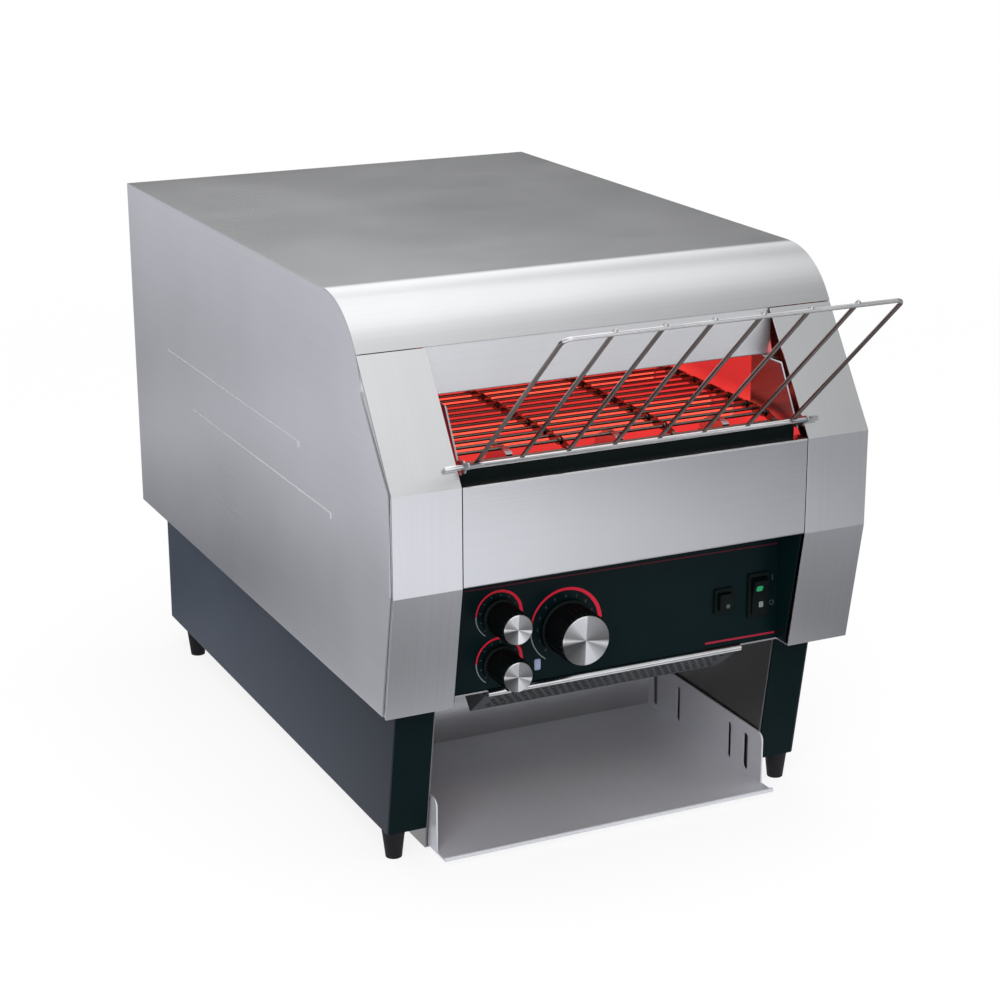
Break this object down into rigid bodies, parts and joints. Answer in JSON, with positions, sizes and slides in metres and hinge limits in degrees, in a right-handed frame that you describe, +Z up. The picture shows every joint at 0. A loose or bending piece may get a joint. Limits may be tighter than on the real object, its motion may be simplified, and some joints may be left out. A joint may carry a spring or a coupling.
{
  "type": "conveyor toaster",
  "caption": "Counter-top conveyor toaster: bread slides down a wire rack onto a rod belt between heating elements and drops to a tray at the front.",
  "frame": {"origin": "on the table under the middle of the overall width and length", "axes": "+Z up, front faces -Y, +X to the right as seen from the front"},
  "size_m": [0.369, 0.6887, 0.4189],
  "materials": {
    "panel_steel": "brushed stainless",
    "inner_steel": "satin stainless",
    "moving_steel": "satin stainless",
    "slate_paint": "powder coat",
    "black_paint": "powder coat",
    "bright_wire": "polished",
    "element_tube": "hot metal sheath",
    "ceramic": "glazed ceramic",
    "bronze": "sintered bronze",
    "black_plastic": "moulded",
    "lamp_lens": "clear lens",
    "black_rubber": "moulded",
    "motor_metal": "cast and painted"
  },
  "bodies": {
    "cabinet": {"base_side_left": "slate_paint", "base_side_right": "slate_paint", "front_pillar_left": "black_paint", "front_pillar_right": "black_paint", "base_pan": "slate_paint", "base_back": "slate_paint", "feet": "black_rubber", "inner_wall_left": "inner_steel", "inner_wall_right": "inner_steel", "ramp": "inner_steel", "top_cover": "panel_steel", "side_panel_left": "panel_steel", "side_panel_right": "panel_steel", "back_panel": "panel_steel", "back_screws": "bright_wire", "front_trim_left": "panel_steel", "front_trim_right": "panel_steel", "front_panel": "panel_steel", "front_baffle": "black_paint", "throat_guide_left": "inner_steel", "throat_guide_right": "inner_steel", "upper_panel": "panel_steel", "upper_reflector": "inner_steel", "lower_reflector": "inner_steel", "heat_shield": "inner_steel", "upper_elements": "element_tube", "lower_elements": "element_tube", "element_bushings": "ceramic", "control_panel": "black_paint", "control_box": "inner_steel", "panel_strip": "bright_wire", "vent_guard": "black_paint", "control_switches": "black_plastic", "switch_bezels": "black_plastic", "indicator_lamp": "lamp_lens", "belt_rods": "moving_steel", "belt_end_rods": "moving_steel", "belt_links": "moving_steel", "shaft_bushes": "bronze", "drive_chain": "moving_steel", "gear_motor": "motor_metal", "contactor": "black_plastic", "terminal_block": "ceramic", "fan_frame": "black_plastic", "fan_guard": "bright_wire", "cord_bushing": "black_rubber"},
    "drive_roller": {"drive_shaft": "moving_steel", "drive_sprockets": "moving_steel", "chain_wheel": "moving_steel"},
    "idler_roller": {"idler_shaft": "moving_steel", "idler_sprockets": "moving_steel"},
    "motor_output": {"motor_pinion": "moving_steel"},
    "fan_wheel": {"fan_rotor": "black_plastic"},
    "rack": {"feed_rack": "bright_wire"},
    "tray": {"collection_tray": "inner_steel"},
    "upper_knob": {"upper_heat_knob": "black_plastic"},
    "lower_knob": {"lower_heat_knob": "black_plastic"},
    "belt_knob": {"speed_knob": "black_plastic"},
    "rocker": {"power_rocker": "black_plastic"},
    "button": {"saver_button": "black_plastic"}
  },
  "joints": [
    {"name": "belt_drive", "type": "hinge", "parent": "cabinet", "child": "drive_roller", "pos_m": [0, 0.2284, 0.27547], "axis": [1, 0, 0], "continuous": true, "deforming": ["belt_end_rods", "belt_links", "drive_chain"]},
    {"name": "belt_idler", "type": "hinge", "parent": "cabinet", "child": "idler_roller", "pos_m": [0, -0.178, 0.27547], "axis": [1, 0, 0], "continuous": true},
    {"name": "motor_drive", "type": "hinge", "parent": "cabinet", "child": "motor_output", "pos_m": [0, 0.2284, 0.08496], "axis": [1, 0, 0], "continuous": true},
    {"name": "fan_spin", "type": "hinge", "parent": "cabinet", "child": "fan_wheel", "pos_m": [-0.072, 0.3288, 0.0734], "axis": [0, 1, 0], "continuous": true},
    {"name": "rack_fold", "type": "hinge", "parent": "cabinet", "child": "rack", "pos_m": [0, -0.2144, 0.3025], "axis": [-1, 0, 0], "range_deg": [0, 75]},
    {"name": "tray_slide", "type": "slide", "parent": "cabinet", "child": "tray", "axis": [0, -1, 0], "range_m": [0, 0.14]},
    {"name": "upper_heat_turn", "type": "hinge", "parent": "cabinet", "child": "upper_knob", "pos_m": [-0.0923, -0.188, 0.1834], "axis": [0, 1, 0], "range_deg": [0, 280]},
    {"name": "lower_heat_turn", "type": "hinge", "parent": "cabinet", "child": "lower_knob", "pos_m": [-0.0923, -0.188, 0.149], "axis": [0, 1, 0], "range_deg": [0, 280]},
    {"name": "speed_turn", "type": "hinge", "parent": "cabinet", "child": "belt_knob", "pos_m": [-0.0405, -0.188, 0.167], "axis": [0, 1, 0], "range_deg": [0, 280]},
    {"name": "power_switch", "type": "hinge", "parent": "cabinet", "child": "rocker", "pos_m": [0.116, -0.186, 0.166], "axis": [1, 0, 0], "range_deg": [-14, 0]},
    {"name": "saver_press", "type": "slide", "parent": "cabinet", "child": "button", "axis": [0, 1, 0], "range_m": [0, 0.003], "stiffness_N_per_m": 200}
  ],
  "couplings": [
    {"joint": "belt_idler", "follows": "belt_drive", "ratio": 1},
    {"joint": "motor_drive", "follows": "belt_drive", "ratio": 1}
  ]
}
